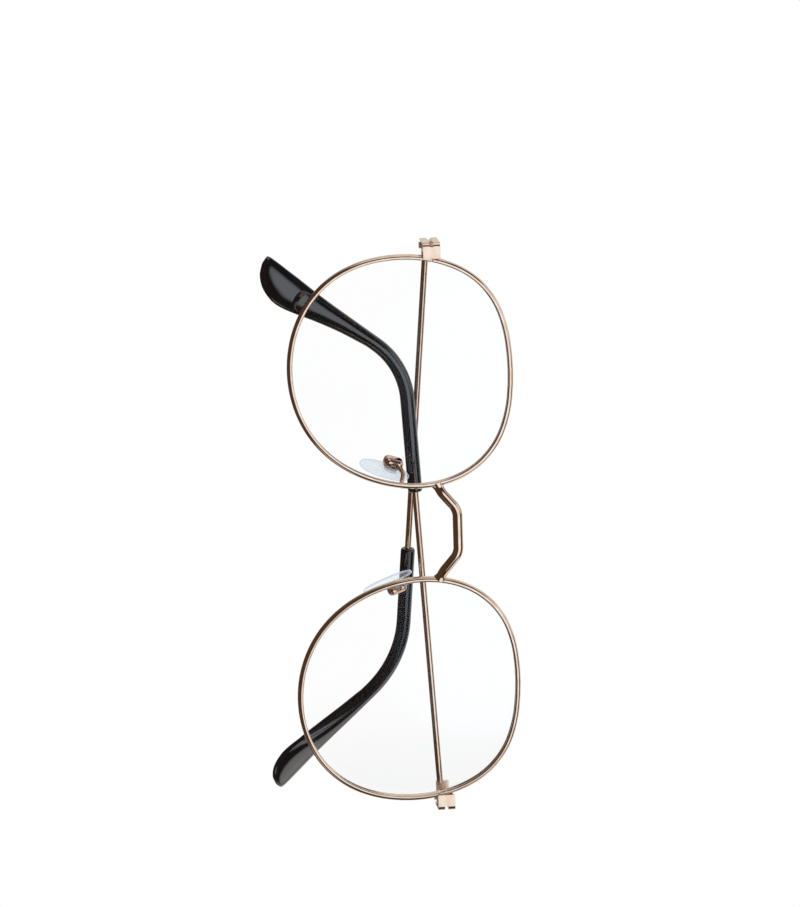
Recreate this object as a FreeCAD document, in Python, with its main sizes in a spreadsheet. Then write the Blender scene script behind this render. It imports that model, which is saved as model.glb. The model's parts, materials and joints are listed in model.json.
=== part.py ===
import FreeCAD, Part
import math
import os
import re

import Sketcher

# Round metal eyeglasses, folded. Millimetres, +Z up as worn, the front faces -Y and +X is the wearer's
# left. The origin is midway between the nose pads. The left half of the front is built first and the
# right half mirrors it. The temples fold one over the other, the right one on top.

Vector = FreeCAD.Vector
Rotation = FreeCAD.Rotation
Placement = FreeCAD.Placement
doc = FreeCAD.newDocument("round_eyeglasses")
sheet = doc.addObject("Spreadsheet::Sheet", "Sizes")

sizes = {
    # where the lenses stand, from the origin
    "lens_spacing": 72,
    "lens_ahead": 7,
    "lens_raise": 4,
    "wrap_angle": 3.5,
    # eyewire and its groove
    "rim_radius": 25.2,
    "rim_width": 1.15,
    "rim_depth": 1.9,
    "rim_crown": 0.42,
    "groove_depth": 0.45,
    "groove_width": 0.9,
    "rim_split": 0.3,
    # lens
    "lens_thickness": 1.8,
    "lens_curve": 110,
    "lens_fit": 0.05,
    # closing block of the eyewire and its screw
    "lock_angle": 16.7,
    "lock_width": 1.7,
    "lock_depth": 2.2,
    "lock_height": 3.2,
    "lock_sink": 0.3,
    "rim_screw_inset": 0.54,
    "rim_screw_radius": 0.34,
    "rim_screw_head_radius": 0.48,
    "rim_screw_head_height": 0.35,
    # end piece
    "end_flat": 0.85,
    "end_height": 3.8,
    "end_thickness": 0.4,
    "end_bend": 1,
    "end_gap": 0.05,
    "end_notch": 0.8,
    # hinge
    "hinge_lift": -0.225,
    "hinge_behind": 6.7,
    "knuckle_radius": 0.8,
    "ear_height": 1,
    "tongue_height": 1.1,
    "hinge_gap": 0.05,
    "hinge_clearance": 0.05,
    "front_leaf_thickness": 0.3,
    "front_leaf_length": 2.6,
    "temple_leaf_thickness": 1.1,
    "temple_leaf_length": 3.2,
    "temple_leaf_height": 2.8,
    "hinge_screw_radius": 0.42,
    "hinge_screw_head_radius": 0.74,
    "hinge_screw_head_height": 0.45,
    "hinge_screw_tip": 0.3,
    "screw_fit": 0.03,
    "slot_width": 0.2,
    # temples, with distances along them from the hinge pin
    "temple_wire_radius": 0.7,
    "temple_wire_below": 0.35,
    "temple_bend_distance": 98.2,
    "sleeve_length": 66.6,
    "sleeve_radius": 1.6,
    "sleeve_fit": 0.05,
    "core_short": 12,
    "paddle_width": 7.7,
    "paddle_thickness": 2.6,
    "paddle_belly": 1.2,
    # how each temple was bent to fit, and how it lies folded
    "drop_angle_left": 3,
    "drop_angle_right": 3.95,
    "bend_angle_left": 49.5,
    "bend_angle_right": 42,
    "bend_radius_left": 17,
    "bend_radius_right": 25,
    "sleeve_start_left": 69.4,
    "sleeve_start_right": 71.3,
    "twist_angle_left": 4,
    "twist_angle_right": 27.5,
    "slant_angle_left": 1.9,
    "slant_angle_right": 7.4,
    # bridge
    "bridge_width": 2.2,
    "bridge_thickness": 1.9,
    "bridge_foot_angle": 165,
    "bridge_foot_stand": 0.5,
    "bridge_flare_radius": 1.3,
    "bridge_shoulder_rise": 0.649,
    "bridge_top_rise": 3.35,
    "bridge_bow": 0.9,
    "bridge_bend": 4,
    # nose pads, each on a stem that rocks in a box at the end of an arm
    "pad_spacing": 25.4,
    "pad_splay_angle": 14,
    "pad_tilt_angle": 20,
    "pad_length": 11.6,
    "pad_width": 7.2,
    "pad_thickness": 1.7,
    "pad_edge": 0.6,
    "stem_reach": 2.1,
    "stem_raise": 1.3,
    "stem_width": 1.2,
    "stem_height": 1.5,
    "stem_head": 0.55,
    "stem_base_radius": 1.5,
    "stem_base_thickness": 0.6,
    "stem_fit": 0.05,
    "box_width": 3.4,
    "box_height": 4.4,
    "box_back": 1.3,
    "box_mouth": 0.85,
    "box_edge": 1.1,
    "box_side_gap": 0.1,
    "box_rock_gap": 0.35,
    "box_back_gap": 0.2,
    "pad_screw_radius": 0.35,
    "pad_screw_head_radius": 0.65,
    "pad_screw_head_height": 0.4,
    "arm_radius": 0.5,
    "arm_root_angle": 182,
    "arm_back": 2,
    "arm_swing": 1.6,
    "arm_rise": 0.7,
    "arm_bend": 1.4,
}

# radius of the eyewire every 30 degrees, from its closing block up over the top to the nose and round
outline_shares = (1.007, 1.017, 0.952, 0.967, 1.051, 1.035, 0.985, 0.978, 0.982, 1, 1.023, 1.004)
# the bridge's bends, as shares of the distance from the middle to its foot
bridge_bend_shares = (0.8646, 0.476)
# end of a temple: place along its straight leg, share of the full swell, shift towards the belly, and
# share left by the rounded end
paddle_shares = (
    (0, 0, 0, 1),
    (0.22, 0.19, 0.31, 1),
    (0.42, 0.46, 0.75, 1),
    (0.59, 0.78, 1.17, 1),
    (0.7, 0.96, 1.33, 1),
    (0.79, 1, 1.25, 0.98),
    (0.9, 0.93, 0.65, 0.87),
    (0.97, 0.79, -0.19, 0.66),
    (1, 0.79, -0.96, 0.34),
)
# the twist of a temple's end is whole from here on
twisted_share = 0.6

# sizes that follow from the ones above
derived_sizes = {
    "lens_x": "lens_spacing / 2",
    "lock_x": "rim_radius * %s * cos(lock_angle * 1deg) + lock_sink" % outline_shares[0],
    "lock_outer_x": "lock_x + lock_width",
    "lock_middle_x": "lock_x + lock_width / 2",
    "rim_screw_x": "lock_outer_x - rim_screw_inset",
    "hinge_raise": "rim_radius * %s * sin(lock_angle * 1deg) + hinge_lift" % outline_shares[0],
    "block_start": "lens_x + lock_x * cos(wrap_angle * 1deg)",
    "block_end": "lens_x + lock_outer_x * cos(wrap_angle * 1deg) + lock_depth / 2 * sin(wrap_angle * 1deg)",
    "block_front": "lock_x * sin(wrap_angle * 1deg) - lock_depth / 2 * cos(wrap_angle * 1deg) - lens_ahead",
    "plate_y": "block_front - end_gap - end_thickness",
    "end_reach": "block_end + end_flat + end_bend",
    "pin_x": "end_reach - end_thickness - front_leaf_thickness - hinge_clearance - knuckle_radius",
    "pin_y": "hinge_behind - lens_ahead",
    "pin_z": "hinge_raise + lens_raise",
    "leaf_offset": "knuckle_radius + hinge_clearance + temple_leaf_thickness / 2",
    "ear_middle": "tongue_height / 2 + hinge_gap + ear_height / 2",
    "ear_top": "tongue_height / 2 + hinge_gap + ear_height",
    "pad_face": "stem_reach - pad_thickness / 2",
}

row = 0
for name, value in sizes.items():
    row += 1
    sheet.set("A%d" % row, name)
    sheet.set("B%d" % row, str(value))
    sheet.setAlias("B%d" % row, name)
for name, formula in derived_sizes.items():
    row += 1
    sheet.set("A%d" % row, name)
    sheet.set("B%d" % row, "=" + formula)
    sheet.setAlias("B%d" % row, name)
doc.recompute()


def size(name):
    return float(sheet.get(name))


def in_sheet(formula):
    """The formula with each size looked up in the sheet."""
    return re.sub(r"[a-z]\w+", lambda word: "Sizes." + word[0], formula)


def block(name, centre, spans):
    """A box about a centre, each of its numbers a formula."""
    box = doc.addObject("Part::Box", name)
    for side, axis, middle, span in zip(("Length", "Width", "Height"), "xyz", centre, spans):
        box.setExpression(side, in_sheet(span))
        box.setExpression("Placement.Base." + axis, in_sheet("(%s) - (%s) / 2" % (middle, span)))
    return box


def rod(name, centre, radius, height, along="z"):
    """A cylinder about a centre, along one of the axes."""
    bar = doc.addObject("Part::Cylinder", name)
    bar.setExpression("Radius", in_sheet(radius))
    bar.setExpression("Height", in_sheet(height))
    heading = Vector(*[int(axis == along) for axis in "xyz"])
    bar.Placement = Placement(Vector(), Rotation(Vector(0, 0, 1), heading))
    for axis, middle in zip("xyz", centre):
        start = "(%s) - (%s) / 2" % (middle, height) if axis == along else middle
        bar.setExpression("Placement.Base." + axis, in_sheet(start))
    return bar


def rounded(name, base, radius):
    """A box with all its edges rounded."""
    doc.recompute()
    soft = doc.addObject("Part::Fillet", name)
    soft.Base = base
    soft.Edges = [(i, radius, radius) for i in range(1, len(base.Shape.Edges) + 1)]
    return soft


def fuse(name, *shapes):
    joined = doc.addObject("Part::MultiFuse", name)
    joined.Shapes = list(shapes)
    return joined


def cut(name, base, tool):
    left = doc.addObject("Part::Cut", name)
    left.Base = base
    left.Tool = tool
    return left


def feature(name, shape):
    """A free-form piece, whose shape the functions below work out."""
    thing = doc.addObject("Part::Feature", name)
    thing.Shape = shape
    return thing


nodes = {}


def node(thing, name, place=Placement()):
    thing.Label = name
    thing.Placement = place
    nodes[name] = thing
    return thing


def mirrored(name):
    """The right-hand twin of a left-hand piece."""
    copy = doc.addObject("Part::Mirroring", name.replace("left", "right"))
    copy.Source = nodes[name]
    copy.Normal = Vector(1, 0, 0)
    nodes[name.replace("left", "right")] = copy


# Places of the lens, the hinge pin and the nose pad's pivot on the left

lens_place = Placement(
    Vector(size("lens_x"), -size("lens_ahead"), size("lens_raise")),
    Rotation(Vector(0, 0, 1), size("wrap_angle")),
)
pin = Vector(size("pin_x"), size("pin_y"), size("pin_z"))
pad_turn = Rotation(Vector(0, 0, 1), -size("pad_splay_angle")) * Rotation(Vector(0, 1, 0), -size("pad_tilt_angle"))
pad_from_pivot = Vector(-size("stem_reach"), 0, -size("stem_raise"))
pad_place = Placement(Vector(size("pad_spacing") / 2, 0, 0) - pad_turn.multVec(pad_from_pivot), pad_turn)


# Outline of the eyewire in its own plane: biarcs through twelve points of a smooth closed curve

step = 2 * math.pi / len(outline_shares)
first_angle = math.radians(size("lock_angle"))


def outline_radius(angle):
    """The trigonometric curve through the twelve shares."""
    count = len(outline_shares)
    total = 0
    for i, share in enumerate(outline_shares):
        turn = angle - first_angle - i * step
        weight = math.sin(count * turn / 2) / (count * math.tan(turn / 2)) if math.sin(turn / 2) else 1
        total += share * weight
    return total * size("rim_radius")


def outline_points():
    """Each of the twelve points, with the direction of the curve there."""
    radii = [share * size("rim_radius") for share in outline_shares]
    found = []
    for i, radius in enumerate(radii):
        slope = sum(0.5 * (-1) ** k / math.tan(k * step / 2) * radii[i - k] for k in range(1, len(radii)))
        angle = first_angle + i * step
        outward = Vector(math.cos(angle), 0, math.sin(angle))
        onward = Vector(-math.sin(angle), 0, math.cos(angle))
        found.append((outward * radius, (outward * slope + onward * radius).normalize()))
    return found


def arc_from(point, direction, other):
    """Centre and signed radius of the arc that leaves a point in a direction and reaches another."""
    inward = Vector(-direction.z, 0, direction.x)
    chord = other - point
    radius = chord.dot(chord) / (2 * inward.dot(chord))
    return point + inward * radius, radius


def outline_arcs():
    """Centre, radius and both ends of each arc."""
    points = outline_points()
    arcs = []
    for (start, leave), (end, arrive) in zip(points, points[1:] + points[:1]):
        chord = end - start
        both = chord.dot(leave + arrive)
        spread = 2 * (1 - leave.dot(arrive))
        reach = (math.sqrt(both ** 2 + spread * chord.dot(chord)) - both) / spread
        middle = (start + end + (leave - arrive) * reach) / 2
        centre, radius = arc_from(start, leave, middle)
        arcs.append((centre, radius, start, middle))
        centre, radius = arc_from(end, arrive * -1, middle)
        arcs.append((centre, -radius, middle, end))
    return arcs


arcs = outline_arcs()


def outline_wire(offset, depth, split=0):
    """The outline moved outwards by an offset, at a depth, open by a split at the closing block."""
    edges = []
    for centre, radius, start, end in arcs:
        low = math.atan2(start.z - centre.z, start.x - centre.x)
        high = math.atan2(end.z - centre.z, end.x - centre.x)
        if high < low:
            high += 2 * math.pi
        if not edges:
            low += split / 2 / radius
        if len(edges) == len(arcs) - 1:
            high -= split / 2 / radius
        spots = [Vector(math.cos(a), 0, math.sin(a)) * (radius + offset) for a in (low, (low + high) / 2, high)]
        edges.append(Part.Arc(*[centre + spot + Vector(0, depth, 0) for spot in spots]).toShape())
    return Part.Wire(edges)


# Eyewire: a wire with a crowned outside and a V groove inside, swept round the outline

def eyewire():
    path = outline_wire(0, 0, size("rim_split"))
    inner = -size("rim_width") / 2
    crown = size("rim_width") / 2
    shoulder = crown - size("rim_crown")
    half = size("rim_depth") / 2
    lip = size("groove_width") / 2
    start = path.Edges[0].valueAt(path.Edges[0].FirstParameter)
    onward = path.Edges[0].tangentAt(path.Edges[0].FirstParameter)
    outward = Vector(onward.z, 0, -onward.x)

    def spot(across, depth):
        return start + outward * across + Vector(0, depth, 0)

    corners = [(shoulder, half), (inner, half), (inner, lip), (inner + size("groove_depth"), 0),
               (inner, -lip), (inner, -half), (shoulder, -half)]
    edges = [Part.LineSegment(spot(*a), spot(*b)).toShape() for a, b in zip(corners, corners[1:])]
    edges.append(Part.Arc(spot(shoulder, -half), spot(crown, 0), spot(shoulder, half)).toShape())
    return path.makePipeShell([Part.Wire(edges)], True, False)


rim_shape = eyewire()
rim_tool = feature("eyewire_unplaced", rim_shape)
node(feature("rim_left", rim_shape), "rim_left", lens_place)
mirrored("rim_left")


# Lens: a bevelled disc between two spheres about one centre

def lens():
    wall = -size("rim_width") / 2 - size("lens_fit")
    tip = wall + size("groove_depth") - size("lens_fit")
    lip = size("groove_width") / 2 - size("lens_fit")
    bulge = size("lens_curve") - math.sqrt(size("lens_curve") ** 2 - size("rim_radius") ** 2)
    deep = bulge + size("lens_thickness")
    levels = [(wall, -deep), (wall, -lip), (tip, 0), (wall, lip), (wall, deep)]
    disc = Part.makeLoft([outline_wire(offset, depth) for offset, depth in levels], True, True)
    centre = Vector(0, size("lens_curve") - bulge - size("lens_thickness") / 2, 0)
    front = Part.makeSphere(size("lens_curve"), centre)
    back = Part.makeSphere(size("lens_curve") - size("lens_thickness"), centre)
    return disc.common(front).cut(back)


node(feature("lens_left", lens()), "lens_left", lens_place)
mirrored("lens_left")


# Closing block: two halves on the ends of the eyewire, drawn together by an upright screw

for half, way in (("upper", "+"), ("lower", "-")):
    name = "rim_lock_%s_left" % half
    middle = "hinge_raise %s (lock_height + rim_split) / 4" % way
    box = block(name + "_box", ("lock_middle_x", "0", middle),
                ("lock_width", "lock_depth", "(lock_height - rim_split) / 2"))
    bore = rod(name + "_bore", ("rim_screw_x", "0", middle), "rim_screw_radius + screw_fit", "lock_height")
    node(cut(name, cut(name + "_bored", box, bore), rim_tool), name, lens_place)
    mirrored(name)

shank = rod("rim_screw_shank", ("rim_screw_x", "0", "hinge_raise"), "rim_screw_radius", "lock_height")
head_level = "hinge_raise - lock_height / 2 - rim_screw_head_height"
head = rod("rim_screw_head", ("rim_screw_x", "0", head_level + " / 2"),
           "rim_screw_head_radius", "rim_screw_head_height")
slot = block("rim_screw_slot", ("rim_screw_x", "0", head_level),
             ("rim_screw_head_radius * 3", "slot_width", "rim_screw_head_height"))
node(cut("rim_screw_left", fuse("rim_screw_blank", shank, head), slot), "rim_screw_left", lens_place)
mirrored("rim_screw_left")


# End piece: a strip in front of the closing block, fixed to its upper half only, then bent back along the
# side of the head to the hinge, and forked from its bend on

flat_end = "end_reach - end_bend"
flat = block("end_piece_flat", ("(block_start + %s) / 2" % flat_end, "plate_y + end_thickness / 2", "pin_z"),
             ("%s - block_start" % flat_end, "end_thickness", "end_height"))
side_start = "plate_y + end_bend"
side_end = "pin_y - hinge_gap"
side = block("end_piece_side", ("end_reach - end_thickness / 2", "(%s + %s) / 2" % (side_start, side_end), "pin_z"),
             ("end_thickness", "%s - plate_y - end_bend" % side_end, "end_height"))
bend_centre = (flat_end, side_start, "pin_z")
bend_outer = rod("end_piece_bend_outer", bend_centre, "end_bend", "end_height")
bend_outer.Angle = 90
bend_outer.Placement.Rotation = Rotation(Vector(0, 0, 1), -90)
bend_inner = rod("end_piece_bend_inner", bend_centre, "end_bend - end_thickness", "end_height * 2")
bend = cut("end_piece_bend", bend_outer, bend_inner)
foot = block("end_piece_foot",
             ("(block_start + block_end) / 2", "plate_y + end_thickness", "pin_z + end_height / 4 + rim_split / 4"),
             ("(block_end - block_start) / 2", "end_thickness", "end_height / 2 - rim_split / 2"))
strip = fuse("end_piece_strip", flat, bend, side, foot)
notch = block("end_piece_notch", ("end_reach", "(plate_y + pin_y) / 2", "pin_z"),
              ("end_bend * 2", "(pin_y - plate_y) * 2", "end_notch"))
forked = cut("end_piece_forked", strip, notch)
node(cut("end_piece_left", forked, nodes["rim_lock_upper_left"]), "end_piece_left")
mirrored("end_piece_left")


# Front half of the hinge: a leaf on the end piece with two ears, and the screw that is the hinge pin

pin_names = ("pin_x", "pin_y", "pin_z")
leaf = block("hinge_front_plate",
             ("end_reach - end_thickness - front_leaf_thickness / 2",
              "pin_y - hinge_gap - front_leaf_length / 2", "pin_z"),
             ("front_leaf_thickness", "front_leaf_length", "ear_top * 2"))
ear_pieces = [leaf]
for half, way in (("upper", "+"), ("lower", "-")):
    level = "pin_z %s ear_middle" % way
    ear_pieces.append(rod("hinge_ear_%s" % half, ("pin_x", "pin_y", level), "knuckle_radius", "ear_height"))
    reach = "knuckle_radius + hinge_clearance"
    ear_pieces.append(block("hinge_ear_web_%s" % half,
                            ("pin_x + (%s) / 2" % reach, "pin_y - hinge_gap / 2 - knuckle_radius / 2", level),
                            (reach, "knuckle_radius - hinge_gap", "ear_height")))
bore = rod("hinge_ear_bore", pin_names, "hinge_screw_radius + screw_fit", "ear_top * 3")
node(cut("hinge_front_leaf_left", fuse("hinge_ears", *ear_pieces), bore), "hinge_front_leaf_left")
mirrored("hinge_front_leaf_left")

shank = rod("hinge_screw_shank", ("pin_x", "pin_y", "pin_z + hinge_screw_tip / 2"),
            "hinge_screw_radius", "ear_top * 2 + hinge_screw_tip")
head = rod("hinge_screw_head", ("pin_x", "pin_y", "pin_z - ear_top - hinge_screw_head_height / 2"),
           "hinge_screw_head_radius", "hinge_screw_head_height")
slot = block("hinge_screw_slot", ("pin_x", "pin_y", "pin_z - ear_top - hinge_screw_head_height"),
             ("hinge_screw_head_radius * 3", "slot_width", "hinge_screw_head_height"))
node(cut("hinge_screw_left", fuse("hinge_screw_blank", shank, head), slot), "hinge_screw_left")
mirrored("hinge_screw_left")


# Runs of wire: straight stretches joined by tangent arcs

def rounded_path(points, bend_radius):
    edges = []
    start = points[0]
    for before, corner, after in zip(points, points[1:], points[2:]):
        backward = (before - corner).normalize()
        forward = (after - corner).normalize()
        half_angle = backward.getAngle(forward) / 2
        reach = bend_radius / math.tan(half_angle)
        bulge = bend_radius / math.sin(half_angle) - bend_radius
        middle = corner + (backward + forward).normalize() * bulge
        near = corner + backward * reach
        far = corner + forward * reach
        edges.append(Part.LineSegment(start, near).toShape())
        edges.append(Part.Arc(near, middle, far).toShape())
        start = far
    edges.append(Part.LineSegment(start, points[-1]).toShape())
    return Part.Wire(edges)


def tube(path, radius):
    start = path.Edges[0].valueAt(path.Edges[0].FirstParameter)
    onward = path.Edges[0].tangentAt(path.Edges[0].FirstParameter)
    section = Part.Wire(Part.Circle(start, onward, radius).toShape())
    return path.makePipeShell([section], True, False)


def oval(centre, onward, across, width, thickness):
    """An ellipse about a centre, square to a direction, its width measured across."""
    if math.isclose(width, thickness):
        return Part.Wire(Part.Circle(centre, onward, width / 2).toShape())
    side = across.normalize() * (width / 2)
    rise = onward.cross(across).normalize() * (thickness / 2)
    return Part.Wire(Part.Ellipse(centre + side, centre + rise, centre).toShape())


# Bridge: an arched wire with flared feet that meet both eyewires

def outline_place(angle, stand, depth):
    """A point in the part's frame, a stand outside the left eyewire's middle at an angle."""
    radius = outline_radius(math.radians(angle)) + stand
    return lens_place.multVec(Vector(radius * math.cos(math.radians(angle)), depth,
                                     radius * math.sin(math.radians(angle))))


def bridge():
    foot = outline_place(size("bridge_foot_angle"), size("bridge_foot_stand"), 0)
    flare = outline_place(size("bridge_foot_angle"), size("bridge_flare_radius"), 0)
    outer, inner = [foot.x * share for share in bridge_bend_shares]
    shoulder = Vector(outer, foot.y - size("bridge_bow") / 2, foot.z + size("bridge_shoulder_rise"))
    top = Vector(inner, foot.y - size("bridge_bow"), shoulder.z + size("bridge_top_rise"))
    half = [foot, shoulder, top]
    path = rounded_path(half + [Vector(-p.x, p.y, p.z) for p in reversed(half)], size("bridge_bend"))
    onward = (shoulder - foot).normalize()
    across = onward.cross(Vector(0, 1, 0))
    section = oval(foot, onward, across, size("bridge_width"), size("bridge_thickness"))
    wire = path.makePipeShell([section], True, False)
    flares = [Part.makeSphere(size("bridge_flare_radius"), Vector(x, flare.y, flare.z))
              for x in (flare.x, -flare.x)]
    return wire.fuse(flares).cut([nodes["rim_left"].Shape, nodes["rim_left"].Shape.mirror(Vector(), Vector(1, 0, 0))])


node(feature("bridge", bridge()), "bridge")


# Nose pad in the frame of its pivot: +X away from the nose, Y the pivot's axis, Z along the pad

pad_body = doc.addObject("PartDesign::Body", "nose_pad_body")
outline = pad_body.newObject("Sketcher::SketchObject", "nose_pad_outline")
upright = [plane for plane in pad_body.Origin.OriginFeatures if plane.Role == "YZ_Plane"][0]
outline.AttachmentSupport = (upright, [""])
outline.MapMode = "FlatFace"
outline.setExpression("AttachmentOffset.Base.z", in_sheet("-stem_reach"))
end_radius = size("pad_width") / 2
end_level = size("pad_length") / 2 - end_radius
rise = Vector(0, end_level - size("stem_raise"), 0)
fall = Vector(0, -end_level - size("stem_raise"), 0)
aside = Vector(end_radius, 0, 0)
outline.addGeometry([
    Part.ArcOfCircle(Part.Circle(rise, Vector(0, 0, 1), end_radius), 0, math.pi),
    Part.LineSegment(rise - aside, fall - aside),
    Part.ArcOfCircle(Part.Circle(fall, Vector(0, 0, 1), end_radius), math.pi, 2 * math.pi),
    Part.LineSegment(fall + aside, rise + aside),
])
upper_end, inner_side, lower_end, outer_side = range(4)
start_point, end_point, centre_point = range(1, 4)
horizontal_axis, vertical_axis = range(-1, -3, -1)
outline.addConstraint([
    Sketcher.Constraint("Tangent", upper_end, end_point, inner_side, start_point),
    Sketcher.Constraint("Tangent", inner_side, end_point, lower_end, start_point),
    Sketcher.Constraint("Tangent", lower_end, end_point, outer_side, start_point),
    Sketcher.Constraint("Tangent", outer_side, end_point, upper_end, start_point),
    Sketcher.Constraint("Vertical", inner_side),
    Sketcher.Constraint("Equal", upper_end, lower_end),
    Sketcher.Constraint("PointOnObject", upper_end, centre_point, vertical_axis),
])
ends = (
    ("Radius", (upper_end, end_radius), "pad_width / 2"),
    ("DistanceY", (horizontal_axis, start_point, upper_end, centre_point, rise.y),
     "(pad_length - pad_width) / 2 - stem_raise"),
    ("DistanceY", (lower_end, centre_point, horizontal_axis, start_point, -fall.y),
     "(pad_length - pad_width) / 2 + stem_raise"),
)
for kind, places, formula in ends:
    index = outline.addConstraint(Sketcher.Constraint(kind, *places))
    outline.setExpression("Constraints[%d]" % index, in_sheet(formula))
slab = pad_body.newObject("PartDesign::Pad", "nose_pad_slab")
slab.Profile = outline
slab.SideType = "Symmetric"
slab.setExpression("Length", in_sheet("pad_thickness"))
doc.recompute()
soft = pad_body.newObject("PartDesign::Fillet", "nose_pad_soft_edges")
around = ["Edge%d" % (i + 1) for i, edge in enumerate(slab.Shape.Edges)
          if edge.BoundBox.XLength < size("pad_edge") / 2]
soft.Base = (slab, around)
soft.setExpression("Radius", in_sheet("pad_edge"))
socket = rod("nose_pad_socket", ("-pad_face", "0", "0"), "stem_base_radius + stem_fit",
             "(stem_base_thickness + stem_fit) * 2", "x")
node(cut("nose_pad_left", pad_body, socket), "nose_pad_left", pad_place)
mirrored("nose_pad_left")

base = rod("pad_core_base", ("-pad_face - stem_base_thickness / 2", "0", "0"), "stem_base_radius",
           "stem_base_thickness", "x")
stem = block("pad_core_stem", ("(stem_head - pad_face) / 2", "0", "0"),
             ("stem_head + pad_face", "stem_width", "stem_height"))
eye = rod("pad_core_eye", ("0", "0", "0"), "pad_screw_radius + screw_fit", "stem_width * 2", "y")
node(cut("pad_core_left", fuse("pad_core_blank", base, stem), eye), "pad_core_left", pad_place)
mirrored("pad_core_left")


# Pad box: a rounded cup with a mouth towards the nose, a slot for the stem and a recess for the screw

cup = rounded("pad_box_cup", block("pad_box_block", ("0", "0", "0"), ("box_back * 2", "box_width", "box_height")),
              size("box_edge"))
mouth = block("pad_box_mouth", ("-box_mouth - box_back", "0", "0"), ("box_back * 2", "box_width", "box_height"))
slot_back = "stem_head + box_back_gap"
slot = block("pad_box_slot", ("(%s) / 2 - box_back" % slot_back, "0", "0"),
             ("%s + box_back * 2" % slot_back, "stem_width + box_side_gap * 2", "stem_height + box_rock_gap * 2"))
bore = rod("pad_box_bore", ("0", "0", "0"), "pad_screw_radius + screw_fit", "box_width * 2", "y")
head_depth = "box_width / 2 - pad_screw_head_height"
recess = rod("pad_box_recess", ("0", "-box_width", "0"), "pad_screw_head_radius + screw_fit",
             "box_width * 2 - (%s) * 2" % head_depth, "y")
box = cut("pad_box_left", cup, fuse("pad_box_hollows", mouth, slot, bore, recess))
node(box, "pad_box_left", pad_place)
mirrored("pad_box_left")

shank = rod("pad_screw_shank", ("0", "0", "0"), "pad_screw_radius", "(%s) * 2" % head_depth, "y")
head = rod("pad_screw_head", ("0", "-(%s) - pad_screw_head_height / 2" % head_depth, "0"),
           "pad_screw_head_radius", "pad_screw_head_height", "y")
slot = block("pad_screw_slot", ("0", "-box_width / 2", "0"),
             ("slot_width", "pad_screw_head_height", "pad_screw_head_radius * 3"))
node(cut("pad_screw_left", fuse("pad_screw_blank", shank, head), slot), "pad_screw_left", pad_place)
mirrored("pad_screw_left")
doc.recompute()


# Pad arm: a thin wire from the back of the eyewire, out and round to the top of the pad box

def pad_arm():
    root = outline_place(size("arm_root_angle"), 0, size("rim_depth") / 2)
    back = root + Vector(0, size("arm_back"), 0)
    turn = back + Vector(size("arm_swing"), size("arm_back"), size("arm_rise"))
    end = pad_place.multVec(Vector(0, 0, size("box_height") / 4))
    arm = tube(rounded_path([root, back, turn, end], size("arm_bend")), size("arm_radius"))
    whole_cup = cup.Shape.copy()
    whole_cup.Placement = pad_place
    return arm.cut([nodes["rim_left"].Shape, whole_cup])


node(feature("pad_arm_left", pad_arm()), "pad_arm_left")
mirrored("pad_arm_left")


# Temples, each in the frame of its hinge pin: folded straight along -X on the left, +X on the right

def temple_course(side):
    """The temple's line: start at its leaf, mouth of the sleeve, bend, and direction of the end leg."""
    drop = math.radians(size("drop_angle_" + side))
    steep = drop + math.radians(size("bend_angle_" + side))
    along = Vector(-math.cos(drop), 0, -math.sin(drop))
    down = Vector(-math.cos(steep), 0, -math.sin(steep))
    origin = Vector(0, size("leaf_offset"), -size("temple_wire_below"))
    start = origin + along * (size("temple_leaf_length") + size("temple_wire_radius") * math.sin(drop))
    mouth = origin + along * size("sleeve_start_" + side)
    corner = origin + along * size("temple_bend_distance")
    return start, mouth, corner, down


def end_leg(side):
    """From the bend's corner to the end, by the length of the sleeve along its own line."""
    half_turn = math.radians(size("bend_angle_" + side)) / 2
    straight = size("temple_bend_distance") - size("sleeve_start_" + side)
    return size("sleeve_length") - straight + 2 * size("bend_radius_" + side) * (math.tan(half_turn) - half_turn)


def temple_wire(side):
    start, mouth, corner, down = temple_course(side)
    end = corner + down * (end_leg(side) - size("core_short"))
    return tube(rounded_path([start, corner, end], size("bend_radius_" + side)), size("temple_wire_radius"))


def temple_tip(side):
    start, mouth, corner, down = temple_course(side)
    bend_radius = size("bend_radius_" + side)
    radius = size("sleeve_radius")
    neck = bend_radius * math.tan(math.radians(size("bend_angle_" + side)) / 2) + radius
    sleeve = tube(rounded_path([mouth, corner, corner + down * neck], bend_radius), radius)
    across = Vector(-down.z, 0, down.x)
    sections = []
    for place, swell, shift, closing in paddle_shares:
        width = (2 * radius + (size("paddle_width") - 2 * radius) * swell) * closing
        thickness = (2 * radius + (size("paddle_thickness") - 2 * radius) * swell) * closing
        twist = Rotation(down, size("twist_angle_" + side) * min(place / twisted_share, 1))
        aside = twist.multVec(across)
        centre = corner + down * (neck + (end_leg(side) - neck) * place) + aside * (size("paddle_belly") * shift)
        sections.append(oval(centre, down, aside, width, thickness))
    paddle = Part.makeLoft(sections, True, False)
    core_end = corner + down * (end_leg(side) - size("core_short") + size("sleeve_fit"))
    bore = tube(rounded_path([start, corner, core_end], bend_radius),
                size("temple_wire_radius") + size("sleeve_fit"))
    return sleeve.fuse(paddle).cut(bore)


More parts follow.
